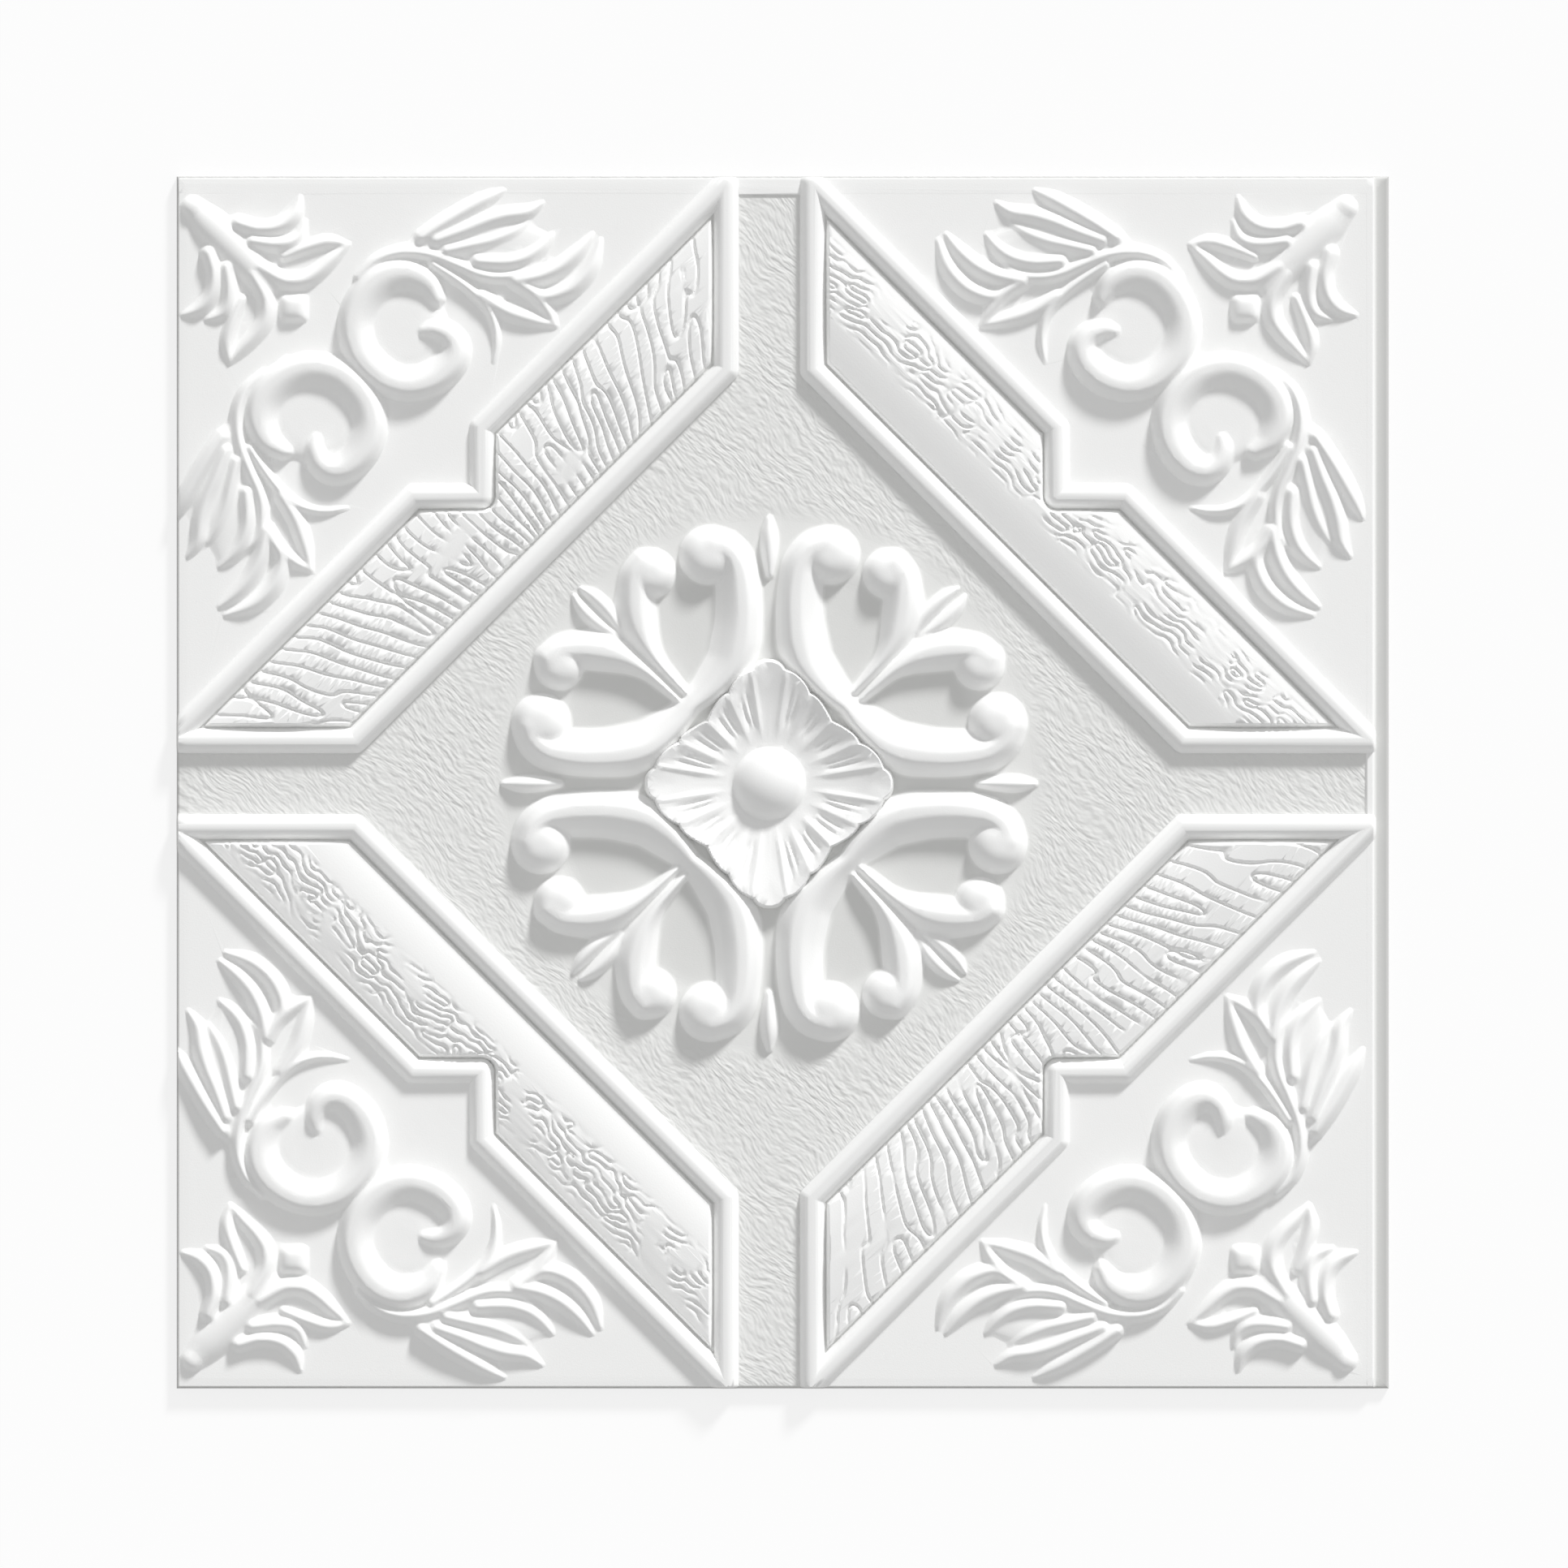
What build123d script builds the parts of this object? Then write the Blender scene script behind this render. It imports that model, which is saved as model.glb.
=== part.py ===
from build123d import *
import os
from math import sqrt

# Square foam ceiling panel, moulded in one piece with a raised ornament: a rosette in a diamond
# field, four framed bands round it, and a pair of volutes with leaves and a sprig in each corner.
# Millimetres, +Z up. The panel lies on its flat back at Z 0 with the ornament facing up.
# The origin is the middle of the back. Places on the ornament are measured from PATTERN_CENTRE,
# in its first quadrant, and mirrored into the others.

# Sheet
PANEL_SIDE = 350.0
GROUND_HEIGHT = 3.6
EDGE_ROUND = 0.8
PATTERN_CENTRE = (-3.9, -0.4)
ROOT_DEPTH = 1.0  # how far the foot of each raised form reaches into the sheet
TOP_RIM = 5.2     # between the upper channel and the upper edge
RIGHT_RIM = 6.4   # between the right channel and the right edge, flange included
FLANGE_WIDTH = 4.2
FLANGE_HEIGHT = 2.5

# Diamond field, with channels from it to the middles of the four edges
FIELD_HEIGHT = 3.0
CHANNEL_HALF_WIDTH = 12.4  # axis to the middle of the bar beside the channel
INNER_DIAGONAL = 131.8     # X + Y along the bar round the diamond
OUTER_DIAGONAL = 185.6     # X + Y along the outer bar of a band
NOTCH_CORNER = 83.0        # X and Y of the square notch in a band's outer bar
BAND_HEIGHT = 3.9          # where the band meets its bars
BAND_CROWN = 2.5           # rise of the arched band over its width

# Bars that frame the bands
BAR_WIDTH = 7.6
BAR_HEIGHT = 6.4
BAR_DRAFT = 24.0
BAR_CHAMFER = 1.0
GROOVE_WIDTH = 1.2         # between a bar and its band
GROOVE_FLOOR = 2.4

# Rosette: flower with a domed eye
FLOWER_HEIGHT = 7.4
FLOWER_LEAN = 1.6  # how far the petals' sides lean in at their tips
FLOWER_TIP = (36.0, 0.0)
FLOWER_SIDE_NOTCH = (26.6, 12.0)
FLOWER_SIDE_LOBE = (25.0, 17.0)
FLOWER_DIAGONAL_NOTCH = 19.6  # X and Y
DISH_RADIUS = 25.0
DISH_FLOOR_RADIUS = 8.0
DISH_HEIGHT = 3.8
EYE_RADIUS = 11.5
EYE_HEIGHT = 9.0

# Rosette: one C-scroll in each quadrant. Half of it, from the diagonal outwards, as
# ((x, y), half width, height).
SCROLL = [
    ((23.0, 23.0), 3.7, 7.0),
    ((31.2, 15.4), 6.0, 7.6),
    ((40.4, 9.9), 7.8, 8.1),
    ((51.0, 8.9), 7.3, 8.3),
    ((62.5, 9.7), 6.2, 8.3),
]
SCROLL_KNOB = (66.2, 16.6)
SCROLL_KNOB_RADIUS = 9.0
SCROLL_KNOB_HEIGHT = 8.6

# Rosette: smaller stroke inside the C-scroll, on each side of the diagonal
STROKE = [
    ((28.4, 26.0), 1.7, 6.0),
    ((35.0, 32.0), 2.6, 6.9),
    ((41.0, 36.0), 4.2, 7.3),
    ((49.0, 38.3), 6.2, 7.7),
    ((57.0, 38.6), 5.8, 7.8),
]
STROKE_KNOB = (60.6, 34.4)
STROKE_KNOB_RADIUS = 7.6
STROKE_KNOB_HEIGHT = 8.0

# Rosette buds, from one end to the other, with half their width
DIAGONAL_BUD = ((42.5, 42.5), (57.0, 57.0), 3.4)
AXIS_BUD = ((60.0, 0.0), (77.2, 0.0), 2.8)
BUD_HEIGHT = 5.8

# Corner volute: a ring that winds in to a hooked tip
VOLUTE_CENTRE = (104.2, 131.0)
VOLUTE_RADIUS = 17.2
VOLUTE_HALF_WIDTH = 4.7
VOLUTE_HEIGHT = 8.0
VOLUTE_START = 140.0  # degrees from +X
VOLUTE_SWEEP = 272.0  # degrees, clockwise
VOLUTE_TIP = (99.2, 130.6)

# Stem that hugs the volute and carries the leaf
STEM = [
    ((79.6, 122.5), 1.2, 4.6),
    ((79.6, 132.0), 1.8, 5.6),
    ((84.5, 141.0), 2.3, 6.2),
    ((92.0, 148.6), 3.0, 6.6),
    ((102.0, 152.6), 3.2, 6.8),
    ((113.0, 150.0), 2.2, 6.0),
]

# Lobes of the leaf: root, tip, bow of the middle to the left of the line to the tip, half width
LEAF_LOBES = [
    ((99.0, 158.5), (76.5, 171.0), 0.9, 2.3),
    ((104.0, 155.6), (67.0, 166.0), 2.0, 2.4),
    ((95.0, 154.2), (68.0, 162.6), 3.2, 2.2),
    ((93.0, 150.8), (61.5, 160.5), 4.6, 2.5),
    ((94.0, 149.2), (65.5, 152.5), 4.4, 2.3),
    ((74.0, 144.2), (49.5, 159.5), 3.8, 2.3),
    ((71.0, 139.2), (48.0, 158.0), 6.0, 2.6),
    ((86.0, 143.6), (61.5, 132.2), -0.6, 3.8),
]
LEAF_HEIGHT = 6.3

# Corner sprig: stem along the diagonal, lobes on each side of it, a bud and a corner knob
SPRIG_STEM = ((168.0, 168.0), (141.5, 141.5), 4.2)
SPRIG_LOBES = [
    ((154.0, 160.5), (135.0, 169.0), 4.6, 2.2),
    ((150.0, 155.8), (133.5, 162.5), 3.6, 1.9),
    ((150.0, 151.0), (121.5, 155.8), 4.0, 4.2),
]
SPRIG_BUD = (137.2, 137.2)
SPRIG_BUD_SIDE = 8.4
SPRIG_BUD_DRAFT = 20.0
SPRIG_HEIGHT = 6.2
CORNER_KNOB = (166.4, 166.4)
CORNER_KNOB_RADIUS = 3.6

# Shape of a rounded back: shares of its half width and of its rise where side turns to top
SHOULDER = (0.72, 0.66)
CREST = 0.3
LOBE_DRAFT = 0.55    # share of a lobe's half width that its sides lean in
LOBE_TIP_SETBACK = 0.09  # share of a lobe's length that its flat back stops short of each end
KNOB_SIDES = 12
ARC_STEPS = 4        # straight steps along each side of a lobe and each arc of the flower
VOLUTE_STEP = 22.5   # degrees of the ring to a step
HOOK_STEPS = 5
PROUD = 2.0          # how far a cutting shape stands out past what it cuts

GROUND_FOOT = GROUND_HEIGHT - ROOT_DEPTH
FIELD_FOOT = FIELD_HEIGHT - ROOT_DEPTH
DIAGONAL_MIRROR = Plane(origin=(0, 0, 0), z_dir=(1, -1, 0))


def both_sides_of_diagonal(forms):
    return forms + [mirror(form, about=DIAGONAL_MIRROR) for form in forms]


def all_quadrants(forms):
    right_half = forms + [mirror(form, about=Plane.XZ) for form in forms]
    return right_half + [mirror(form, about=Plane.YZ) for form in right_half]


def steps(arc, count):
    """Points along an arc, without its end."""
    return [tuple(arc @ (step / count))[:2] for step in range(count)]


def mound(layers):
    """Solid through flat outlines, one above the other, each given as points and a height."""
    faces = [Pos(0, 0, height) * make_face(Polyline(*points, close=True)) for points, height in layers]
    return loft(faces, ruled=True)


def flank(half_width, rise):
    """One side of a rounded back, from its foot to its crest."""
    out, up = SHOULDER
    return [(half_width, 0), (out * half_width, up * rise), (CREST * half_width, rise)]


def ridge(frames, foot):
    """Round-backed ridge through places with a direction, a half width and a height at each."""
    sections = []
    for place, along, half_width, height in frames:
        right = flank(half_width, height - foot)
        left = [(-x, y) for x, y in reversed(right)]
        plane = Plane(origin=(*place, foot), x_dir=along.rotate(Axis.Z, 90), z_dir=along)
        sections.append(plane * make_face(Polyline(*right, *left, close=True)))
    return loft(sections, ruled=True)


def spline_ridge(stations, foot):
    """Ridge along a smooth curve through ((x, y), half width, height) stations."""
    path = Spline(*[place for place, half_width, height in stations])
    frames = []
    for place, half_width, height in stations:
        along = path.tangent_at(path.param_at_point(place))
        frames.append((place, along, half_width, height))
    return ridge(frames, foot)


def knob(centre, radius, foot, top):
    """Round knob with a rounded back."""
    layers = []
    for layer_radius, rise in flank(radius, top - foot):
        ring = CenterArc(centre, layer_radius, 0, 360)
        layers.append((steps(ring, KNOB_SIDES), foot + rise))
    return mound(layers)


def crescent(start, tip, bow, half_width):
    """Outline between two arcs, whose middle stands to the left of the line from start to tip."""
    chord = tip - start
    left = chord.normalized().rotate(Axis.Z, 90)
    middle = start + chord / 2
    right_arc = ThreePointArc(start, middle + left * (bow - half_width), tip)
    left_arc = ThreePointArc(tip, middle + left * (bow + half_width), start)
    return steps(right_arc, ARC_STEPS) + steps(left_arc, ARC_STEPS)


def lobe(start, tip, bow, half_width, foot, top):
    """Leaf lobe: a crescent with leaning sides and a narrower flat back."""
    start, tip = Vector(*start), Vector(*tip)
    setback = (tip - start) * LOBE_TIP_SETBACK
    lower = crescent(start, tip, bow, half_width)
    upper = crescent(start + setback, tip - setback, bow, half_width * (1 - LOBE_DRAFT))
    return mound([(lower, foot), (upper, top)])


def make_sheet():
    """Sheet with rounded upper edges, and the field, its channels and the bands' beds pressed in."""
    floor = (Align.CENTER, Align.CENTER, Align.MIN)
    sheet = Box(PANEL_SIDE, PANEL_SIDE, GROUND_HEIGHT, align=floor)
    sheet = fillet(sheet.edges().group_by(Axis.Z)[-1], EDGE_ROUND)
    diamond = Rectangle(INNER_DIAGONAL * sqrt(2), INNER_DIAGONAL * sqrt(2), rotation=45)
    channel = Rectangle(2 * CHANNEL_HALF_WIDTH, 2 * PANEL_SIDE)
    field = Pos(*PATTERN_CENTRE) * (diamond + channel + Rot(0, 0, 90) * channel)
    inside_rims = Pos(-RIGHT_RIM, -TOP_RIM) * Rectangle(PANEL_SIDE, PANEL_SIDE)
    sheet -= Pos(0, 0, FIELD_HEIGHT) * extrude(field & inside_rims, amount=GROUND_HEIGHT)
    bed = Pos(0, 0, GROOVE_FLOOR) * extrude(band_outline(), amount=GROUND_HEIGHT)
    return sheet - [Pos(*PATTERN_CENTRE, 0) * form for form in all_quadrants([bed])]


def band_outline():
    """Middle line of the bar round a band, in the first quadrant."""
    near = CHANNEL_HALF_WIDTH
    half = [
        (INNER_DIAGONAL - near, near),
        (OUTER_DIAGONAL - near, near),
        (OUTER_DIAGONAL - NOTCH_CORNER, NOTCH_CORNER),
    ]
    other_half = [(y, x) for x, y in reversed(half)]
    return make_face(Polyline(*half, (NOTCH_CORNER, NOTCH_CORNER), *other_half, close=True))


def make_band():
    """Arched band, and the mitred bar round it with a narrow groove between."""
    outline = band_outline()
    half_width = (OUTER_DIAGONAL - INNER_DIAGONAL) / (2 * sqrt(2))
    rise = BAND_HEIGHT - FIELD_FOOT
    arch = ThreePointArc((half_width, rise), (0, rise + BAND_CROWN), (-half_width, rise))
    feet = Polyline(arch @ 1, (-half_width, 0), (half_width, 0), arch @ 0)
    middle = (INNER_DIAGONAL + OUTER_DIAGONAL) / 4
    across = Plane(origin=(middle, middle, FIELD_FOOT), x_dir=(1, 1, 0), z_dir=(1, -1, 0))
    band = extrude(across * make_face([arch, feet]), amount=OUTER_DIAGONAL, both=True)
    band_edge = offset(outline, -BAR_WIDTH / 2 - GROOVE_WIDTH, kind=Kind.INTERSECTION)
    prism = Pos(0, 0, FIELD_FOOT) * extrude(band_edge, amount=rise + BAND_CROWN + PROUD)
    outside = offset(outline, BAR_WIDTH / 2, kind=Kind.INTERSECTION)
    inside = offset(outline, -BAR_WIDTH / 2, kind=Kind.INTERSECTION)
    bar = extrude(outside - inside, amount=BAR_HEIGHT - FIELD_FOOT, taper=BAR_DRAFT)
    bar = chamfer(bar.edges().group_by(Axis.Z)[-1], BAR_CHAMFER)
    return [band & prism, Pos(0, 0, FIELD_FOOT) * bar]


def flower_outline(inset):
    """Wavy edge of the flower: four petals on the axes and two side lobes between each pair."""
    tip_x, tip_y = FLOWER_TIP
    notch_x, notch_y = FLOWER_SIDE_NOTCH
    lobe_x, lobe_y = FLOWER_SIDE_LOBE
    corner = (FLOWER_DIAGONAL_NOTCH, FLOWER_DIAGONAL_NOTCH)
    quarter = [
        ThreePointArc((notch_x, -notch_y), (tip_x, tip_y), (notch_x, notch_y)),
        ThreePointArc((notch_x, notch_y), (lobe_x, lobe_y), corner),
        ThreePointArc(corner, (lobe_y, lobe_x), (notch_y, notch_x)),
    ]
    points = []
    for turn in (0, 90, 180, 270):
        for arc in quarter:
            points += steps(Rot(0, 0, turn) * arc, ARC_STEPS)
    shrink = 1 - inset / tip_x
    return [(x * shrink, y * shrink) for x, y in points]


def make_flower():
    """Dished flower with a wavy edge and a domed eye."""
    flower = mound([(flower_outline(0), FIELD_FOOT), (flower_outline(FLOWER_LEAN), FLOWER_HEIGHT)])
    dish = mound([
        (steps(CenterArc((0, 0), DISH_FLOOR_RADIUS, 0, 360), KNOB_SIDES), DISH_HEIGHT),
        (steps(CenterArc((0, 0), DISH_RADIUS, 0, 360), KNOB_SIDES), FLOWER_HEIGHT),
    ])
    return [flower - dish, knob((0, 0), EYE_RADIUS, DISH_HEIGHT - ROOT_DEPTH, EYE_HEIGHT)]


def make_rosette_quadrant():
    """C-scroll with its knobs, the strokes inside it and the bud beyond it."""
    forms = [
        spline_ridge(SCROLL, FIELD_FOOT),
        knob(SCROLL_KNOB, SCROLL_KNOB_RADIUS, FIELD_FOOT, SCROLL_KNOB_HEIGHT),
        spline_ridge(STROKE, FIELD_FOOT),
        knob(STROKE_KNOB, STROKE_KNOB_RADIUS, FIELD_FOOT, STROKE_KNOB_HEIGHT),
    ]
    start, tip, half_width = DIAGONAL_BUD
    return both_sides_of_diagonal(forms) + [lobe(start, tip, 0, half_width, FIELD_FOOT, BUD_HEIGHT)]


def make_axis_buds():
    start, tip, half_width = AXIS_BUD
    bud = lobe(start, tip, 0, half_width, FIELD_FOOT, BUD_HEIGHT)
    return [Rot(0, 0, turn) * bud for turn in (0, 90, 180, 270)]


def make_volute():
    """Ring with a rounded back that winds in along a second arc and ends in a knob."""
    ring = CenterArc(VOLUTE_CENTRE, VOLUTE_RADIUS, VOLUTE_START, -VOLUTE_SWEEP)
    hook = TangentArc(ring @ 1, VOLUTE_TIP, tangent=ring % 1)
    frames = []
    for arc, count in ((ring, round(VOLUTE_SWEEP / VOLUTE_STEP)), (hook, HOOK_STEPS)):
        for step, place in enumerate(steps(arc, count)):
            frames.append((place, arc % (step / count), VOLUTE_HALF_WIDTH, VOLUTE_HEIGHT))
    frames.append((VOLUTE_TIP, hook % 1, VOLUTE_HALF_WIDTH, VOLUTE_HEIGHT))
    return [
        ridge(frames, GROUND_FOOT),
        knob(VOLUTE_TIP, VOLUTE_HALF_WIDTH, GROUND_FOOT, VOLUTE_HEIGHT),
    ]


def make_corner_quadrant():
    """Two volutes with their leaves, and the sprig between them."""
    forms = make_volute() + [spline_ridge(STEM, GROUND_FOOT)]
    for start, tip, bow, half_width in LEAF_LOBES:
        forms.append(lobe(start, tip, bow, half_width, GROUND_FOOT, LEAF_HEIGHT))
    for start, tip, bow, half_width in SPRIG_LOBES:
        forms.append(lobe(start, tip, bow, half_width, GROUND_FOOT, SPRIG_HEIGHT))
    start, tip, half_width = SPRIG_STEM
    square = Rectangle(SPRIG_BUD_SIDE, SPRIG_BUD_SIDE)
    bud = extrude(square, amount=SPRIG_HEIGHT - GROUND_FOOT, taper=SPRIG_BUD_DRAFT)
    middle = [
        lobe(start, tip, 0, half_width, GROUND_FOOT, SPRIG_HEIGHT),
        Pos(*SPRIG_BUD, GROUND_FOOT) * bud,
        knob(CORNER_KNOB, CORNER_KNOB_RADIUS, GROUND_FOOT, SPRIG_HEIGHT),
    ]
    return both_sides_of_diagonal(forms) + middle


def make_panel():
    quadrant = make_band() + make_rosette_quadrant() + make_corner_quadrant()
    ornament = all_quadrants(quadrant) + make_axis_buds() + make_flower()
    panel = make_sheet() + [Pos(*PATTERN_CENTRE, 0) * form for form in ornament]
    tallest = max(EYE_HEIGHT, VOLUTE_HEIGHT, SCROLL_KNOB_HEIGHT) + PROUD
    trim = Box(PANEL_SIDE, PANEL_SIDE, tallest, align=(Align.CENTER, Align.CENTER, Align.MIN))
    over_flange = Box(FLANGE_WIDTH, PANEL_SIDE, tallest, align=(Align.MAX, Align.CENTER, Align.MIN))
    return (panel & trim) - Pos(PANEL_SIDE / 2, 0, FLANGE_HEIGHT) * over_flange


os.makedirs("parts", exist_ok=True)
export_step(make_panel(), "parts/ceiling_panel.step")
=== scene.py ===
import math

import bpy
import numpy as np
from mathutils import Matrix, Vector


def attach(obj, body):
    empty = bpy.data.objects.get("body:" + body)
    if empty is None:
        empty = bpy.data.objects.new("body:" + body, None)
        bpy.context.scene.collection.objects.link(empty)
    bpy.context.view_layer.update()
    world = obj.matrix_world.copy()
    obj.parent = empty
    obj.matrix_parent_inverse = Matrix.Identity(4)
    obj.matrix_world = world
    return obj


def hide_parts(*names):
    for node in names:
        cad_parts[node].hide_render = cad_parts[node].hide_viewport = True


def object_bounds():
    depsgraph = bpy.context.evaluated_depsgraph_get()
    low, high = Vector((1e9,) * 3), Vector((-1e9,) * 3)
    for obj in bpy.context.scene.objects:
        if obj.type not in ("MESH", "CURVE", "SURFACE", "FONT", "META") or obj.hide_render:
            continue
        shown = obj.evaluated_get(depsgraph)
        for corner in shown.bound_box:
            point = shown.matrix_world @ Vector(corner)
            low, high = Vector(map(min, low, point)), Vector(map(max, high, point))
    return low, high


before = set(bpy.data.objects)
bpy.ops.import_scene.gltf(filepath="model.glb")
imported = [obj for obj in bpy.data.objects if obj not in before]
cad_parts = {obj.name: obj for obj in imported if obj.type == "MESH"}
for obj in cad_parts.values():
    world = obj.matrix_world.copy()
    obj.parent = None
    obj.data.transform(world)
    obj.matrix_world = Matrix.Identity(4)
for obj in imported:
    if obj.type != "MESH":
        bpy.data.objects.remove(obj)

# Foam ceiling panel, dressed: the moulded relief as one fine mesh, a matte white foam finish with a
# leather-grained field, and the plain studio it is seen in. The relief is a height map. Lengths are
# in millimetres, and places are measured from the pattern's centre, in its first quadrant, which is
# mirrored into the other three.
CAD_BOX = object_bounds()
MM = 0.001

# Sheet
PATTERN_CENTRE = (-3.9, -0.4)
GROUND = 3.6
FIELD = 3.0
HOLLOW = 2.6            # floor inside the rosette
HOLLOW_RADIUS = 66.0
EDGE_ROUND = 0.9
EDGE_HEIGHT = 1.3       # where the rounded edge starts above the back

# Height map
STEP = 0.35             # between neighbouring heights
STEPS_TO_EDGE = 516     # from the centre to past the farthest edge
BLEND = 0.5             # softness where two forms meet
LINE_STEP = 0.8         # between neighbouring points of a curve
BELOW = 1.0             # how far below its foot a form ends
REACH = 1.3             # share of a ridge's width where it has ended
PIECE_TRIANGLES = 190000
SOFTENING = 3           # passes that round the ornament's creases
LEVEL = math.cos(math.radians(3))       # wide low faces more level than this are shaded flat
LOW = 4.2
WIDE = 1.5              # square millimetres
WIDE_BEND = math.cos(math.radians(8))   # most that the shading may bend on a wide face
SMALL_BEND = math.cos(math.radians(35))
UPRIGHT = math.cos(math.radians(89))

# Rims: the channels stop short of the top and right edges, and the right edge has a thin flange
TOP_RIM = 5.2
FLANGE = 4.2
FLANGE_HEIGHT = 2.5
RIGHT_RIM = 2.2
SHOULDER = 4.0          # width of the ground's slope down to the edges
SHOULDER_DROP = 0.15

# Bands and the bars round them
CHANNEL_HALF_WIDTH = 12.4
INNER_DIAGONAL = 131.8
OUTER_DIAGONAL = 185.6
NOTCH_CORNER = 83.0
BAND_HEIGHT = 3.1
BAND_CROWN = 3.3
BAR_HEIGHT = 6.4
BAR_HALF_WIDTH = 4.3    # down to where the round bar ends below the field
GROOVE_START = 3.5      # from the middle of a bar to the groove beside its band
GROOVE_WIDTH = 1.6
GROOVE_FLOOR = 2.4

# Flower: a diamond with rounded tips and scalloped sides, dished, with a domed eye
FLOWER_SIDE = 39.4      # x + y along its sides
FLOWER_TIP = 35.6
TIP_RADIUS = 9.5
SCALLOP_DEPTH = 2.0
SCALLOP_LENGTH = 10.1
RIM_HEIGHT = 7.8
DISH_FLOOR = 3.4
EYE_RADIUS = 10.5
EYE_HEIGHT = 8.9
FOLD_HEIGHT = 0.55      # of the fold between two petals
FOLD_HALF_WIDTH = 0.9
VEINS = (0.36, 0.64)    # shares of a side petal's width
VEIN_DEPTH = 0.8
VEIN_HALF_WIDTH = 0.55

# Strokes of the rosette, as (x, y, width to the left, width to the right, height of the crest)
ARM = [
    (21.7, 21.7, 5.6, 1.9, 7.0),
    (25.3, 16.9, 7.6, 2.2, 7.3),
    (29.6, 12.7, 9.2, 3.0, 7.6),
    (34.5, 9.6, 9.6, 4.8, 7.9),
    (40.0, 8.1, 9.7, 6.2, 8.1),
    (46.0, 7.3, 9.3, 5.8, 8.2),
    (52.0, 7.1, 9.1, 5.5, 8.3),
    (58.0, 7.7, 8.4, 5.6, 8.3),
    (63.4, 9.3, 6.2, 6.1, 8.3),
    (67.4, 12.4, 4.8, 6.0, 8.3),
    (69.2, 16.6, 4.2, 5.6, 8.2),
]
ARM_KNOB = (65.9, 17.6, 8.8, 8.6)  # x, y, radius, height
INNER_STROKE = [
    (26.4, 24.3, 1.4, 1.4, 5.6),
    (30.0, 27.6, 1.9, 1.9, 6.4),
    (35.0, 32.0, 2.5, 2.6, 6.9),
    (40.0, 35.4, 3.7, 4.3, 7.3),
    (45.0, 37.4, 5.8, 5.8, 7.6),
    (50.0, 38.4, 6.8, 6.4, 7.7),
    (55.0, 38.8, 6.0, 6.2, 7.8),
    (60.0, 38.4, 5.2, 5.0, 7.8),
    (63.6, 36.2, 4.8, 4.6, 7.8),
]
INNER_KNOB = (60.6, 34.2, 7.6, 8.0)
KNOB_BLEND = 1.0        # softness where a stroke swells into its knob
TULIP = [(42.4, 43.2, 0.8, 0.8, 4.2), (46.2, 49.4, 2.4, 2.4, 5.6), (50.4, 53.8, 2.3, 2.3, 5.5),
         (54.6, 56.6, 0.8, 0.8, 4.2)]
AXIS_BUD = [(60.5, 0.0, 1.4, 1.4, 4.8), (66.0, 0.0, 2.5, 2.5, 6.2), (71.5, 0.0, 2.8, 2.8, 6.2),
            (76.6, 0.0, 1.2, 1.2, 4.6)]

# Strokes of the corner: the volute is wound clockwise, so its left side is its outside
VOLUTE = [
    (95.6, 140.0, 2.6, 3.6, 6.6),
    (98.5, 145.2, 3.4, 6.0, 7.4),
    (105.0, 148.0, 4.0, 7.6, 7.8),
    (112.0, 146.5, 4.2, 8.2, 8.0),
    (117.8, 140.8, 4.2, 8.2, 8.0),
    (120.7, 132.5, 4.2, 8.0, 8.0),
    (118.6, 123.4, 4.2, 8.0, 8.0),
    (111.8, 116.4, 4.2, 8.0, 8.0),
    (104.0, 114.0, 4.2, 7.6, 8.0),
    (96.4, 115.9, 4.2, 7.8, 8.0),
    (91.2, 120.6, 4.2, 6.8, 7.9),
    (90.0, 125.6, 4.4, 5.4, 7.7),
    (92.4, 129.4, 4.2, 4.2, 7.4),
    (96.6, 131.0, 3.6, 3.4, 7.0),
    (99.4, 130.6, 2.6, 2.6, 6.2),
]
VOLUTE_EYE = (105.0, 131.0, 13.0, 5.0)
STEM = [
    (79.6, 121.5, 0.9, 0.9, 4.2),
    (78.6, 128.0, 1.5, 1.5, 5.2),
    (79.6, 134.0, 1.8, 1.8, 5.7),
    (82.2, 138.6, 2.0, 2.0, 6.0),
    (86.0, 142.3, 2.0, 2.0, 6.2),
    (91.0, 146.0, 2.0, 2.0, 6.4),
    (97.0, 149.8, 2.0, 2.0, 6.6),
]
LEAF_SPINE = [
    (66.6, 151.4, 0.8, 0.8, 4.4),
    (71.5, 147.2, 2.0, 2.0, 5.8),
    (78.0, 146.0, 2.4, 2.2, 6.4),
    (84.0, 147.0, 2.6, 2.2, 6.7),
    (90.0, 149.5, 2.8, 2.2, 6.9),
    (98.0, 152.4, 3.0, 2.2, 7.0),
    (106.0, 153.0, 3.0, 2.0, 6.9),
    (113.0, 150.8, 2.6, 1.8, 6.5),
    (118.5, 146.0, 1.6, 1.4, 5.8),
]
LEAF_BLADE = [
    (66.0, 157.0, 3.0, 4.0, 4.2),
    (74.0, 156.5, 7.0, 7.0, 4.8),
    (82.0, 157.0, 8.5, 8.0, 5.2),
    (92.0, 157.0, 7.0, 7.0, 5.4),
    (101.0, 154.5, 4.0, 4.0, 5.5),
]
LOBE_FULLNESS = 1.55    # share of a lobe's stated widths that it is as wide as
LOBE_RISE = 1.2         # share of a lobe's stated rise over the ground that it has
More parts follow.
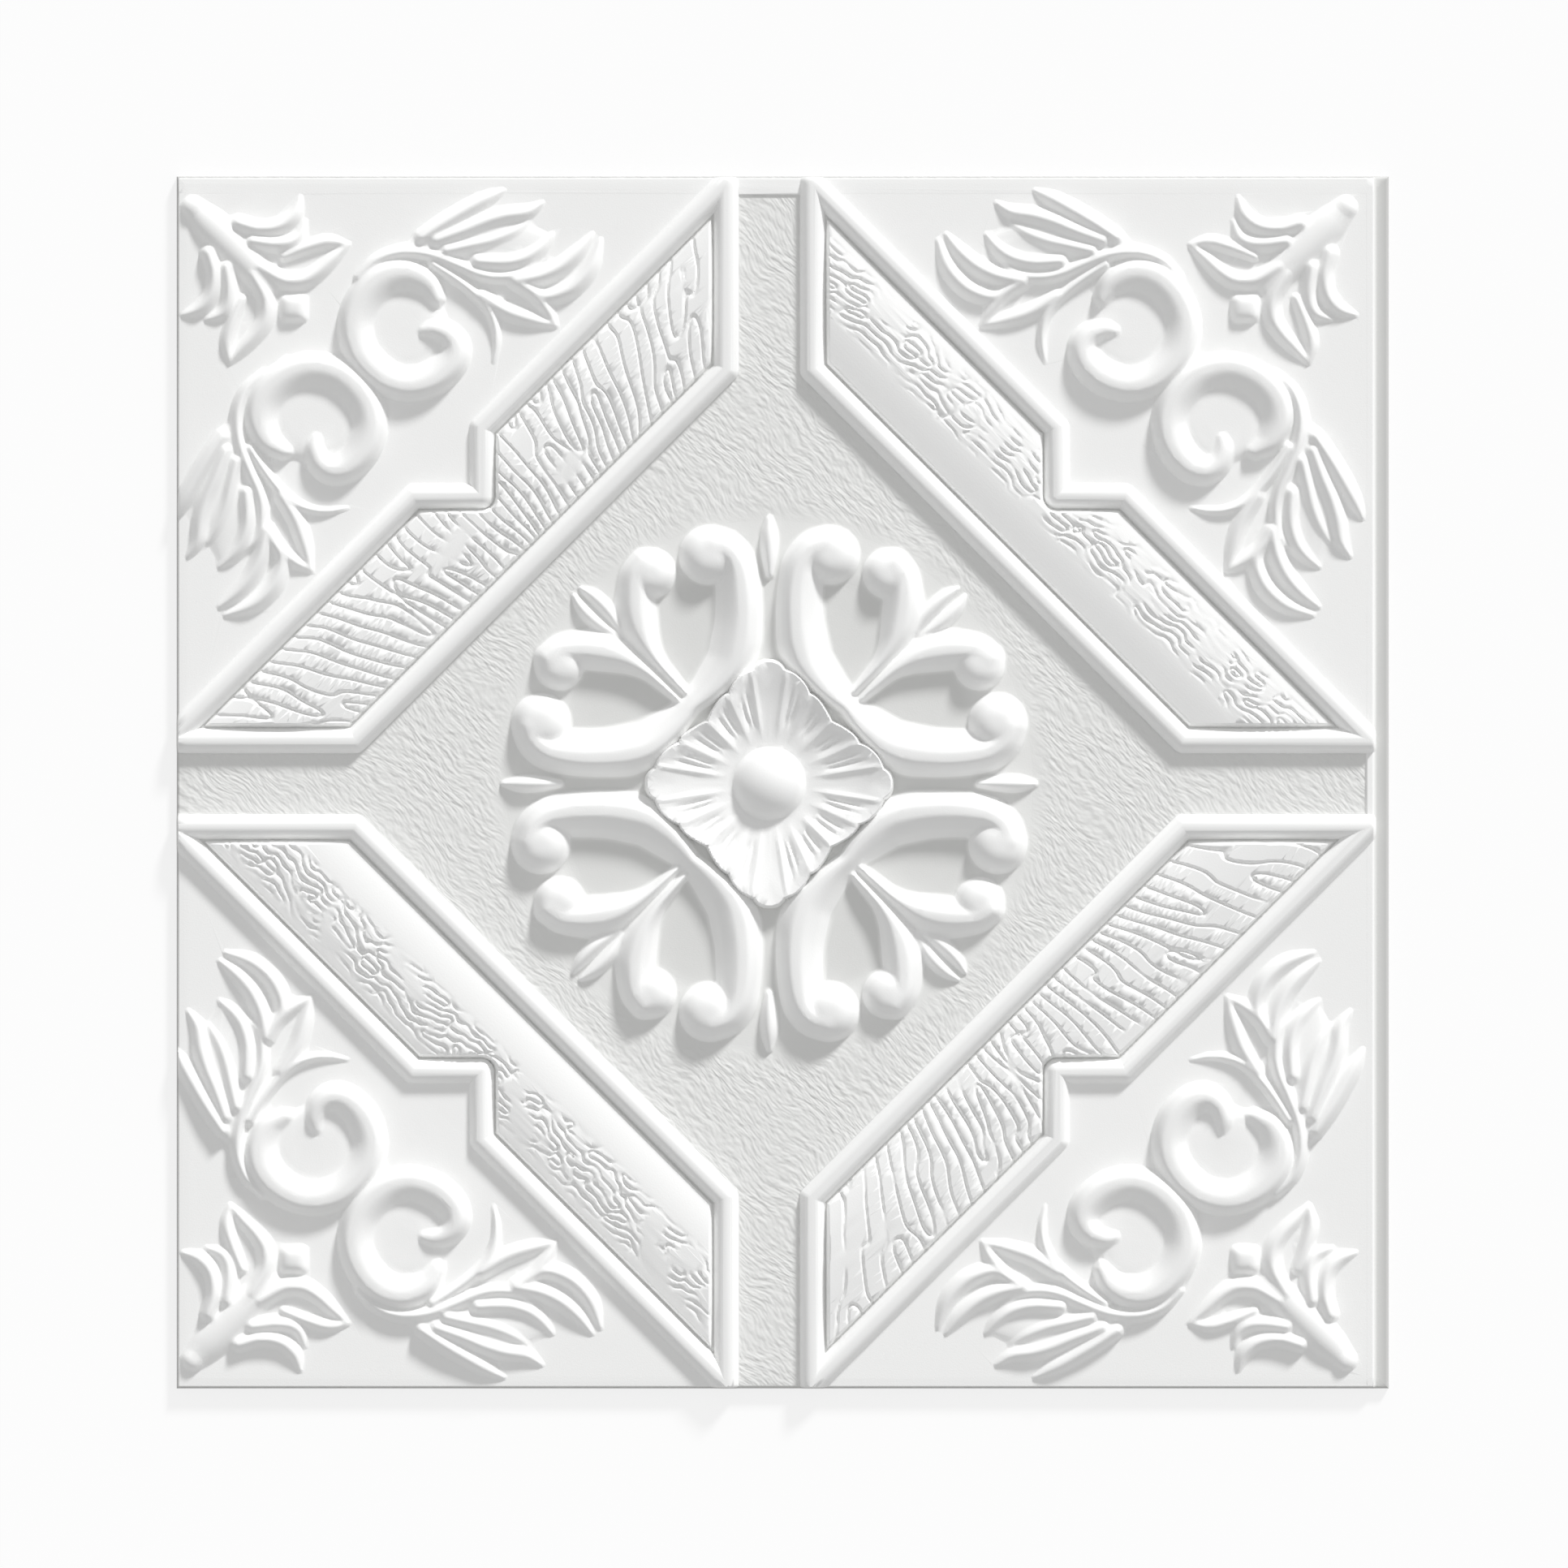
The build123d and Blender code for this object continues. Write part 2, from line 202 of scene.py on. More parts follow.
LEAF_LOBES = [
    [(76.5, 171.2, 0.7, 0.7, 4.3), (82.0, 168.4, 1.9, 1.9, 5.6), (88.0, 165.0, 2.2, 2.2, 6.2),
     (94.0, 161.4, 2.2, 2.2, 6.6), (100.0, 157.4, 2.0, 2.0, 6.7)],
    [(65.5, 167.6, 0.7, 0.7, 4.3), (70.0, 164.8, 1.7, 1.7, 5.4), (76.0, 163.8, 2.1, 2.1, 6.0),
     (82.0, 162.0, 2.2, 2.2, 6.3), (88.0, 159.5, 2.2, 2.2, 6.6), (96.0, 156.6, 2.1, 2.1, 6.7)],
    [(69.5, 161.9, 0.7, 0.7, 4.3), (74.0, 159.0, 1.7, 1.7, 5.4), (80.0, 156.6, 2.0, 2.0, 6.0),
     (86.0, 155.2, 2.0, 2.0, 6.4), (93.0, 153.6, 2.0, 2.0, 6.6)],
    [(62.5, 158.6, 0.7, 0.7, 4.3), (66.0, 154.5, 1.7, 1.7, 5.4), (70.0, 151.8, 2.0, 2.0, 5.9),
     (76.0, 150.3, 2.0, 2.0, 6.3), (84.0, 150.6, 2.0, 2.0, 6.6)],
    [(51.0, 158.6, 0.7, 0.7, 4.3), (55.0, 153.5, 1.8, 1.8, 5.4), (60.0, 149.2, 2.1, 2.1, 5.9),
     (66.0, 146.4, 2.1, 2.1, 6.2), (73.0, 145.0, 2.0, 2.0, 6.3)],
    [(48.6, 157.0, 0.7, 0.7, 4.3), (51.0, 150.0, 1.8, 1.8, 5.4), (54.2, 145.4, 2.1, 2.1, 5.8),
     (58.6, 142.0, 2.1, 2.1, 6.0), (65.0, 140.4, 1.8, 1.8, 5.8), (71.0, 143.6, 1.5, 1.5, 5.9)],
    [(61.6, 132.2, 0.8, 0.8, 4.4), (64.2, 137.0, 1.6, 1.6, 5.4), (68.0, 141.6, 1.8, 1.8, 5.8),
     (73.0, 144.6, 1.8, 1.8, 6.0)],
    [(61.6, 132.2, 0.8, 0.8, 4.4), (69.0, 134.0, 1.8, 1.8, 5.4), (76.0, 136.4, 2.0, 2.0, 5.7),
     (83.0, 140.6, 1.8, 1.8, 6.0)],
]
SPRIG_STEM = [
    (143.0, 143.0, 2.4, 2.4, 5.0),
    (147.0, 147.0, 4.8, 4.8, 6.0),
    (153.0, 153.0, 5.8, 5.8, 6.5),
    (160.0, 160.0, 5.8, 5.8, 6.4),
    (164.5, 164.5, 4.4, 4.4, 5.6),
]
SPRIG_LOBES = [
    [(135.2, 169.2, 0.7, 0.7, 4.3), (137.0, 164.2, 1.8, 1.8, 5.4), (141.0, 160.9, 2.0, 2.0, 5.9),
     (147.0, 160.0, 2.0, 2.0, 6.2), (153.0, 161.6, 2.0, 2.0, 6.3)],
    [(133.8, 162.4, 0.7, 0.7, 4.3), (136.0, 157.3, 1.7, 1.7, 5.3), (141.0, 155.6, 1.9, 1.9, 5.8),
     (149.0, 156.4, 1.9, 1.9, 6.2)],
    [(121.4, 155.6, 0.7, 0.7, 4.3), (127.0, 156.4, 1.6, 1.6, 5.2), (133.0, 154.8, 1.6, 1.6, 5.5),
     (140.0, 152.0, 1.2, 1.2, 5.2)],
    [(121.4, 155.6, 0.7, 0.7, 4.3), (126.0, 151.4, 1.6, 1.6, 5.2), (130.0, 147.7, 1.9, 1.9, 5.6),
     (134.4, 145.2, 2.1, 2.1, 5.8), (140.0, 145.2, 2.1, 2.1, 6.0), (147.0, 149.0, 2.0, 2.0, 6.2)],
]
SPRIG_BUD = (137.2, 137.2, 4.6, 6.2)
CORNER_KNOB = (166.2, 166.2, 3.8, 5.9)

# Cracks in the bands. In two bands they spread out from the rosette, and in the other two they are
# broken and run along the outer part.
CRACK_SEED = 11
CRACK_WAVES = 40        # waves that add up to a pattern of cracks
CRACK_HALF_WIDTH = 0.6
CROSS_SPACING = 3.7
CROSS_DEPTH = 1.0
LONG_SPACING = 2.4
LONG_DEPTH = 0.85
LONG_START = -5.0       # from a band's middle line to where its long cracks start, and end
LONG_END = 13.0

# Finish
# Painted shade: the field's colour is darker than the ground's, and the hollow colour darker still, for all below
# the field: the floor inside the rosette and the grooves beside the bars
RECESS_SHADE_COLOUR = (0.835, 0.838, 0.825, 1)
HOLLOW_SHADE_COLOUR = (0.72, 0.723, 0.71, 1)
GROUND_COLOUR = (0.965, 0.967, 0.96, 1)
# Painted shade: the crests are a little greyer than the ground, to hold down the highlights on their lit slopes
CREST_COLOUR = (0.935, 0.937, 0.931, 1)
# Painted shade: a dark line along the panel's edges and over the flange
EDGE_SHADE_COLOUR = (0.60, 0.60, 0.59, 1)
CREST_START = 5.0       # height where the ground's colour starts to turn to the crests'
CREST_HEIGHT = 6.0
MOTTLE_SIZE = 11.0
LEATHER_LENGTH = 3.6    # of a wrinkle
LEATHER_WIDTH = 1.5
LEATHER_DEPTH = 0.45
LEATHER_START = 76.0    # radius round the rosette where the wrinkles start
LEATHER_FULL = 82.0
GRAIN_SIZE = 0.45
GRAIN_DEPTH = 0.03

# Camera and light
PHOTO_WIDTH = 452.3     # width of the picture at the panel
PHOTO_CENTRE = (0.35, -0.47)
CAMERA_HEIGHT = 2000.0
SENSOR = 36.0
KEY_AZIMUTH = 63.0      # degrees from +X towards +Y
KEY_ELEVATION = 22.0
KEY_SPREAD = 9.0
KEY_STRENGTH = 2.9
FILL_STRENGTH = 0.52

axis = np.arange(STEPS_TO_EDGE + 1) * STEP
X, Y = np.meshgrid(axis, axis)
RADIUS = np.hypot(X, Y)
ALONG = (X - Y) / math.sqrt(2)   # along a band
ACROSS = (X + Y) / math.sqrt(2)  # across a band


def ease(share):
    """Smooth step from 0 to 1."""
    share = np.clip(share, 0, 1)
    return share * share * (3 - 2 * share)


def join(low, high, softness=BLEND):
    """The higher of two surfaces, with a soft crease where they meet."""
    gap = np.maximum(softness - np.abs(low - high), 0)
    return np.maximum(low, high) + gap * gap / (4 * softness)


def smooth_line(stations):
    """Points close together along a smooth curve through the stations."""
    points = np.array(stations)
    ends = (2 * points[0] - points[1], 2 * points[-1] - points[-2])
    padded = np.vstack([ends[0], points, ends[1]])
    line = []
    for before, start, end, after in zip(padded, padded[1:], padded[2:], padded[3:]):
        count = max(2, int(np.hypot(*(end - start)[:2]) / LINE_STEP))
        for share in np.arange(count)[:, None] / count:
            line.append(0.5 * (
                2 * start + (end - before) * share
                + (2 * before - 5 * start + 4 * end - after) * share ** 2
                + (3 * start - before - 3 * end + after) * share ** 3
            ))
    line.append(points[-1])
    return line


def stroke(stations, foot, power=1.5, flat=0.0):
    """Height map of a ridge along a curve. A share of its width is level, and past it, it ends below its foot."""
    ridge = np.full_like(X, foot - BELOW)
    line = smooth_line(stations)
    for start, end in zip(line, line[1:]):
        reach = REACH * max(start[2:4].max(), end[2:4].max()) + STEP
        low = np.floor((np.minimum(start, end)[:2] - reach) / STEP).astype(int).clip(0)
        high = np.ceil((np.maximum(start, end)[:2] + reach) / STEP).astype(int) + 1
        window = (slice(low[1], high[1]), slice(low[0], high[0]))
        from_x, from_y = X[window] - start[0], Y[window] - start[1]
        run_x, run_y = (end - start)[:2]
        share = np.clip((from_x * run_x + from_y * run_y) / (run_x ** 2 + run_y ** 2), 0, 1)
        off_x, off_y = from_x - share * run_x, from_y - share * run_y
        left, right, crest = [start[i] + share * (end - start)[i] for i in (2, 3, 4)]
        width = np.where(run_x * off_y - run_y * off_x > 0, left, right)
        slope = np.maximum(np.hypot(off_x, off_y) / width - flat, 0) / (1 - flat)
        ridge[window] = np.maximum(ridge[window], foot + (crest - foot) * (1 - slope ** power))
    return ridge


def knob(place, foot, power=2.6, squareness=2):
    """Height map of a round or square knob, which ends below its foot."""
    x, y, radius, height = place
    distance = (np.abs(X - x) ** squareness + np.abs(Y - y) ** squareness) ** (1 / squareness)
    return np.maximum(foot + (height - foot) * (1 - (distance / radius) ** power), foot - BELOW)


def soften(surface):
    """Rounds a height map's creases. Past the axes it is mirrored."""
    for _ in range(SOFTENING):
        for _ in range(2):
            wider = np.pad(surface, ((1, 1), (0, 0)), mode="reflect")
            surface = (wider[:-2] + 2 * wider[1:-1] + wider[2:]).T / 4
    return surface


def band_corners():
    """Corners of the middle line of the bar round a band."""
    near = CHANNEL_HALF_WIDTH
    half = [
        (INNER_DIAGONAL - near, near),
        (OUTER_DIAGONAL - near, near),
        (OUTER_DIAGONAL - NOTCH_CORNER, NOTCH_CORNER),
    ]
    return half + [(NOTCH_CORNER, NOTCH_CORNER)] + [(y, x) for x, y in reversed(half)]


def band_distance():
    """Distance to the middle line of the bar round a band, and whether a place is inside it."""
    corners = band_corners()
    distance = np.full_like(X, np.inf)
    inside = np.zeros_like(X, bool)
    for (ax, ay), (bx, by) in zip(corners, corners[1:] + corners[:1]):
        run_x, run_y = bx - ax, by - ay
        share = np.clip(((X - ax) * run_x + (Y - ay) * run_y) / (run_x ** 2 + run_y ** 2), 0, 1)
        distance = np.minimum(distance, np.hypot(X - ax - share * run_x, Y - ay - share * run_y))
        if run_y:
            crossing = ax + (Y - ay) * run_x / run_y
            inside ^= ((ay > Y) != (by > Y)) & (X < crossing)
    return distance, inside


def cracks(rng, across, along, spacing, wander, gaps):
    """Depth, from 0 to 1, of wandering cracks about evenly spaced, with a share of them closed."""
    centre = 0.5 / spacing
    pattern, opening = np.zeros_like(X), np.zeros_like(X)
    for _ in range(CRACK_WAVES):
        pace, drift = centre * rng.normal(1, 0.2), centre * rng.normal(0, wander)
        pattern += np.cos(2 * math.pi * (pace * across + drift * along + rng.random()))
        pace, drift = rng.normal(0, 0.3 * centre, 2)
        opening += np.cos(2 * math.pi * (pace * across + drift * along + rng.random()))
    slope_y, slope_x = np.gradient(pattern, STEP)
    steepness = np.hypot(slope_x, slope_y)
    distance = np.abs(pattern) / (steepness + 0.1 * steepness.mean())
    opening = ease(1 - gaps + 0.4 * opening / opening.std())
    return opening * np.clip(1 - distance / CRACK_HALF_WIDTH, 0, 1)


def make_cracks(rng, spreading):
    """Depth of the cracks in one band."""
    middle = (OUTER_DIAGONAL + INNER_DIAGONAL) / (2 * math.sqrt(2))
    if spreading:
        arc = middle * np.arctan2(Y, X)
        return CROSS_DEPTH * cracks(rng, arc, RADIUS, CROSS_SPACING, 0.17, 0.0)
    broken = cracks(rng, ACROSS, ALONG, LONG_SPACING, 0.35, 0.35)
    off_middle = ACROSS - middle
    return LONG_DEPTH * broken * ease((off_middle - LONG_START) / 4) * ease((LONG_END - off_middle) / 4)


def make_flower(foot):
    """Dished flower with a scalloped rim, hollow side petals with veins, and a domed eye."""
    far, near = np.maximum(X, Y), np.minimum(X, Y)
    scallops = SCALLOP_DEPTH * (np.abs(np.sin(math.pi * ALONG / SCALLOP_LENGTH)) - 0.5)
    side = (FLOWER_SIDE - X - Y) / math.sqrt(2) + scallops
    tip = FLOWER_TIP - far - near ** 2 / (2 * TIP_RADIUS)
    inside = -join(-side, -tip, 3.0)
    from_eye = np.maximum(RADIUS - EYE_RADIUS, 0)
    share = from_eye / (from_eye + np.maximum(inside, 0) + 0.01)
    along_side = FLOWER_SIDE / math.sqrt(2) * np.tan(math.pi / 4 - np.arctan2(near, far)) / SCALLOP_LENGTH
    petal = np.mod(along_side, 1)
    petal_width = SCALLOP_LENGTH * RADIUS / (RADIUS + np.maximum(inside, 0) + 0.01)
    surface = DISH_FLOOR + (RIM_HEIGHT - DISH_FLOOR) * share ** 1.5
    fold = np.exp(-(np.minimum(petal, 1 - petal) * petal_width / FOLD_HALF_WIDTH) ** 2)
    surface += FOLD_HEIGHT * fold * ease(share / 0.5) * ease(inside / 3)
    on_side_petal = (along_side < 2) * ease((share - 0.25) / 0.25) * ease((0.9 - share) / 0.3)
    for place in VEINS:
        vein = np.exp(-((petal - place) * petal_width / VEIN_HALF_WIDTH) ** 2)
        surface -= VEIN_DEPTH * vein * on_side_petal
    flower = foot - BELOW + (surface - foot + BELOW) * ease((inside + 0.8) / 1.4)
    cap = (EYE_RADIUS ** 2 + (EYE_HEIGHT - DISH_FLOOR) ** 2) / (2 * (EYE_HEIGHT - DISH_FLOOR))
    eye = EYE_HEIGHT - cap + np.sqrt(np.maximum(cap ** 2 - RADIUS ** 2, 0))
    return join(flower, np.where(RADIUS < EYE_RADIUS + 1, eye, foot - BELOW))


def fuller(stations):
    """A lobe's stations, made wider and taller."""
    return [(x, y, left * LOBE_FULLNESS, right * LOBE_FULLNESS, GROUND + (height - GROUND) * LOBE_RISE)
            for x, y, left, right, height in stations]


def make_ornament():
    """Height map of everything that stands on the field and the ground."""
    field_foot, ground_foot = FIELD - 0.4, GROUND - 0.4
    octant = [
        join(stroke(ARM, field_foot, 1.25, 0.2), knob(ARM_KNOB, field_foot, 3), KNOB_BLEND),
        join(stroke(INNER_STROKE, field_foot, 1.3, 0.2), knob(INNER_KNOB, field_foot, 3), KNOB_BLEND),
        stroke(AXIS_BUD, field_foot, 2),
        stroke(TULIP, field_foot, 2),
        stroke(VOLUTE, ground_foot, 1.7, 0.15),
        knob(VOLUTE_EYE, ground_foot, 8),
        stroke(STEM, ground_foot, 1.8),
        stroke(LEAF_SPINE, ground_foot, 1.8),
        stroke(LEAF_BLADE, ground_foot, 3),
    ]
    octant += [stroke(fuller(lobe), ground_foot, 1.6) for lobe in LEAF_LOBES + SPRIG_LOBES]
    ornament = np.full_like(X, field_foot - BELOW)
    for form in octant:
        ornament = join(join(ornament, form), form.T)
    for form in (stroke(SPRIG_STEM, ground_foot, 2.2), knob(SPRIG_BUD, ground_foot, 3, 5),
                 knob(CORNER_KNOB, ground_foot)):
        ornament = join(ornament, form)
    return join(soften(ornament), make_flower(field_foot))


def make_relief(rng, spreading, ornament, distance, inside):
    """Height map of one quadrant, with its own cracks in the band."""
    on_field = (X + Y < INNER_DIAGONAL) | (np.minimum(X, Y) < CHANNEL_HALF_WIDTH)
    field = FIELD - (FIELD - HOLLOW) * ease((HOLLOW_RADIUS - RADIUS) / 6)
    floor = np.where(on_field, field, GROUND)
    half_width = (OUTER_DIAGONAL - INNER_DIAGONAL) / (2 * math.sqrt(2))
    middle = (OUTER_DIAGONAL + INNER_DIAGONAL) / (2 * math.sqrt(2))
    arch = BAND_HEIGHT + BAND_CROWN * (1 - ((ACROSS - middle) / half_width) ** 2)
    arch -= make_cracks(rng, spreading)
    groove = ease((distance - GROOVE_START) / GROOVE_WIDTH)
    arch = GROOVE_FLOOR + (arch - GROOVE_FLOOR) * groove
    relief = np.where(inside, arch, floor)
    slope = np.clip(distance / BAR_HALF_WIDTH, 0, 1) ** 2.6
    bar = BAR_HEIGHT - (BAR_HEIGHT - GROOVE_FLOOR + BELOW) * slope
    return join(join(relief, bar), ornament)


def sample(relief, xs, ys):
    """Heights of a quadrant's map on a grid of places."""
    def between(values, places):
        first = np.minimum((places / STEP).astype(int), len(axis) - 2)
        share = (places / STEP - first)[:, None]
        return values[first] * (1 - share) + values[first + 1] * share
    return between(between(relief, ys).T, xs).T


def grid_lines(low, high):
    """Places of the grid from one edge of the panel to the other, closer together at the edges."""
    near = EDGE_ROUND * np.array([0, 0.05, 0.2, 0.5, 1.0])
    first = math.ceil((low + EDGE_ROUND) / STEP + 0.3)
    last = math.floor((high - EDGE_ROUND) / STEP - 0.3)
    return np.concatenate([low + near, np.arange(first, last + 1) * STEP, high - near[::-1]])


def make_heights():
    """Grid lines of the whole panel, from the pattern's centre, and its heights."""
    low = np.array(CAD_BOX[0][:2]) / MM - PATTERN_CENTRE
    high = np.array(CAD_BOX[1][:2]) / MM - PATTERN_CENTRE
    xs, ys = grid_lines(low[0], high[0]), grid_lines(low[1], high[1])
    ornament = make_ornament()
    distance, inside = band_distance()
    rng = np.random.default_rng(CRACK_SEED)
    heights = np.zeros((len(ys), len(xs)))
    for above in (True, False):
        for right in (True, False):
            relief = make_relief(rng, above != right, ornament, distance, inside)
            rows = np.flatnonzero((ys >= 0) if above else (ys < 0))
            columns = np.flatnonzero((xs >= 0) if right else (xs < 0))
            heights[np.ix_(rows, columns)] = sample(relief, np.abs(xs[columns]), np.abs(ys[rows]))
    from_top, from_right = (high[1] - ys)[:, None], (high[0] - xs)[None, :]
    heights = join(heights, GROUND - BELOW * np.maximum(from_top - TOP_RIM, 0), 0.1)
    heights = join(heights, GROUND - BELOW * np.maximum(from_right - FLANGE - RIGHT_RIM, 0), 0.1)
    flange = ease((from_right - FLANGE + 0.7) / 1.4)
    heights = np.minimum(heights, FLANGE_HEIGHT) * (1 - flange) + heights * flange
    to_edge_x = np.minimum(xs - low[0], high[0] - xs)
    to_edge_y = np.minimum(ys - low[1], high[1] - ys)
    to_edge = np.minimum(to_edge_x[None, :], to_edge_y[:, None])
    heights = heights - SHOULDER_DROP * (1 - np.clip(to_edge / SHOULDER, 0, 1)) ** 2
    share = np.sqrt(1 - (1 - np.clip(to_edge / EDGE_ROUND, 0, 1)) ** 2)
    return xs, ys, EDGE_HEIGHT + (heights - EDGE_HEIGHT) * share


def make_panel_mesh(xs, ys, heights):
    """Closed mesh of the panel, in millimetres: its relief, its sides and its flat back."""
    rows, columns = heights.shape
    grid = np.arange(rows * columns).reshape(rows, columns)
    grid_x, grid_y = np.meshgrid(xs + PATTERN_CENTRE[0], ys + PATTERN_CENTRE[1])
    top = np.stack([grid_x, grid_y, heights], axis=-1).reshape(-1, 3)
    rim = np.concatenate([grid[0, :-1], grid[:-1, -1], grid[-1, :0:-1], grid[:0:-1, 0]])
    foot = np.arange(len(rim)) + len(top)
    middle = len(top) + len(rim)
    back = top[rim] * (1, 1, 0)
    places = np.vstack([top, back, [[0, 0, 0]]])
    quads = np.stack([grid[:-1, :-1], grid[:-1, 1:], grid[1:, 1:], grid[1:, :-1]], axis=-1).reshape(-1, 4)
    sides = np.stack([rim, foot, np.roll(foot, -1), np.roll(rim, -1)], axis=-1)
    fan = np.stack([np.full_like(foot, middle), np.roll(foot, -1), foot], axis=-1)
    corners = np.concatenate([quads.ravel(), sides.ravel(), fan.ravel()])
    starts = np.concatenate([np.arange(len(quads) + len(sides)) * 4,
                             (len(quads) + len(sides)) * 4 + np.arange(len(fan)) * 3])
    mesh = bpy.data.meshes.new("moulded_panel")
    mesh.vertices.add(len(places))
    mesh.vertices.foreach_set("co", places.ravel())
    mesh.loops.add(len(corners))
    mesh.loops.foreach_set("vertex_index", corners.astype(np.int32))
    mesh.polygons.add(len(starts))
    mesh.polygons.foreach_set("loop_start", starts.astype(np.int32))
    mesh.update(calc_edges=True)
    return mesh


def read(items, name, width=1, kind=float):
    """One property of all items of a mesh."""
    values = np.empty(len(items) * width, kind)
    items.foreach_get(name, values)
    return values.reshape(-1, width) if width > 1 else values


def thin(piece):
    """Leaves out the points that the shape doesn't need, and turns millimetres into metres."""
    triangles = sum(len(polygon.vertices) - 2 for polygon in piece.data.polygons)
    thinning = piece.modifiers.new("thinning", "DECIMATE")
    thinning.ratio = PIECE_TRIANGLES / triangles
    depsgraph = bpy.context.evaluated_depsgraph_get()
    mesh = bpy.data.meshes.new_from_object(piece.evaluated_get(depsgraph))
    piece.modifiers.clear()
    places = np.clip(read(mesh.vertices, "co", 3) * MM, *CAD_BOX)
    mesh.vertices.foreach_set("co", places.ravel())
    mesh.update()
    piece.data = mesh


def directions(xs, ys, heights, places):
    """Upward directions of the height map at places on it."""
    spots = places[:, :2] / MM - PATTERN_CENTRE
    column = np.clip(np.searchsorted(xs, spots[:, 0]) - 1, 0, len(xs) - 2)
    row = np.clip(np.searchsorted(ys, spots[:, 1]) - 1, 0, len(ys) - 2)
    share_x = np.clip((spots[:, 0] - xs[column]) / (xs[column + 1] - xs[column]), 0, 1)
    share_y = np.clip((spots[:, 1] - ys[row]) / (ys[row + 1] - ys[row]), 0, 1)
    up = np.ones((len(places), 3))
    for slope, side in zip(np.gradient(heights, ys, xs), (1, 0)):
        lower = slope[row, column] * (1 - share_x) + slope[row, column + 1] * share_x
        upper = slope[row + 1, column] * (1 - share_x) + slope[row + 1, column + 1] * share_x
        up[:, side] = -lower * (1 - share_y) - upper * share_y
    return up / np.linalg.norm(up, axis=1)[:, None]


def shade(mesh, xs, ys, heights):
    """Shades the relief as the height map slopes. Sides, back, wide level faces and creases stay flat."""
    normals = read(mesh.polygons, "normal", 3)
    wide = read(mesh.polygons, "area") > WIDE * MM ** 2
    low = read(mesh.polygons, "center", 3)[:, 2] < LOW * MM
    flat = (wide & low & (normals[:, 2] > LEVEL)) | (normals[:, 2] < UPRIGHT)
    face = np.repeat(np.arange(len(normals)), read(mesh.polygons, "loop_total", kind=np.int32))
    corner = read(mesh.loops, "vertex_index", kind=np.int32)
    up = directions(xs, ys, heights, read(mesh.vertices, "co", 3))[corner]
    own = normals[face]
    crease = (up * own).sum(axis=1) < np.where(wide, WIDE_BEND, SMALL_BEND)[face]
    mesh.polygons.foreach_set("use_smooth", np.ones(len(normals), bool))
    mesh.normals_split_custom_set(np.where((flat[face] | crease)[:, None], own, up).tolist())


class Nodes:
    """Short ways to add nodes to a material. A value that isn't a socket is set on the node itself."""

    def __init__(self, tree):
        self.tree = tree

    def add(self, kind, *values, **settings):
        node = self.tree.nodes.new("ShaderNode" + kind)
        for name, setting in settings.items():
            setattr(node, name, setting)
        for socket, value in zip(node.inputs, values):
            self.put(socket, value)
        return node

    def put(self, socket, value):
        if isinstance(value, bpy.types.NodeSocket):
            self.tree.links.new(value, socket)
        elif value is not None:
            socket.default_value = value

    def math(self, operation, *values):
        return self.add("Math", *values, operation=operation).outputs[0]

    def ramp(self, value, start, end, low=0.0, high=1.0):
        return self.add("MapRange", value, start, end, low, high).outputs[0]

    def noise(self, place, detail=2.0):
        return self.add("TexNoise", place, None, 1.0, detail).outputs["Fac"]

    def scaled(self, place, x, y, z):
        return self.add("VectorMath", place, (x, y, z), operation="MULTIPLY").outputs[0]

    def mix(self, share, first, second, blend="MIX"):
        node = self.add("Mix", data_type="RGBA", blend_type=blend)
        self.put(node.inputs[0], share)
        self.put(node.inputs[6], first)
        self.put(node.inputs[7], second)
        return node.outputs[2]

    def bump(self, height, depth, normal=None):
        node = self.add("Bump")
        self.put(node.inputs["Height"], height)
        self.put(node.inputs["Distance"], depth * MM)
        self.put(node.inputs["Normal"], normal)
        return node.outputs[0]


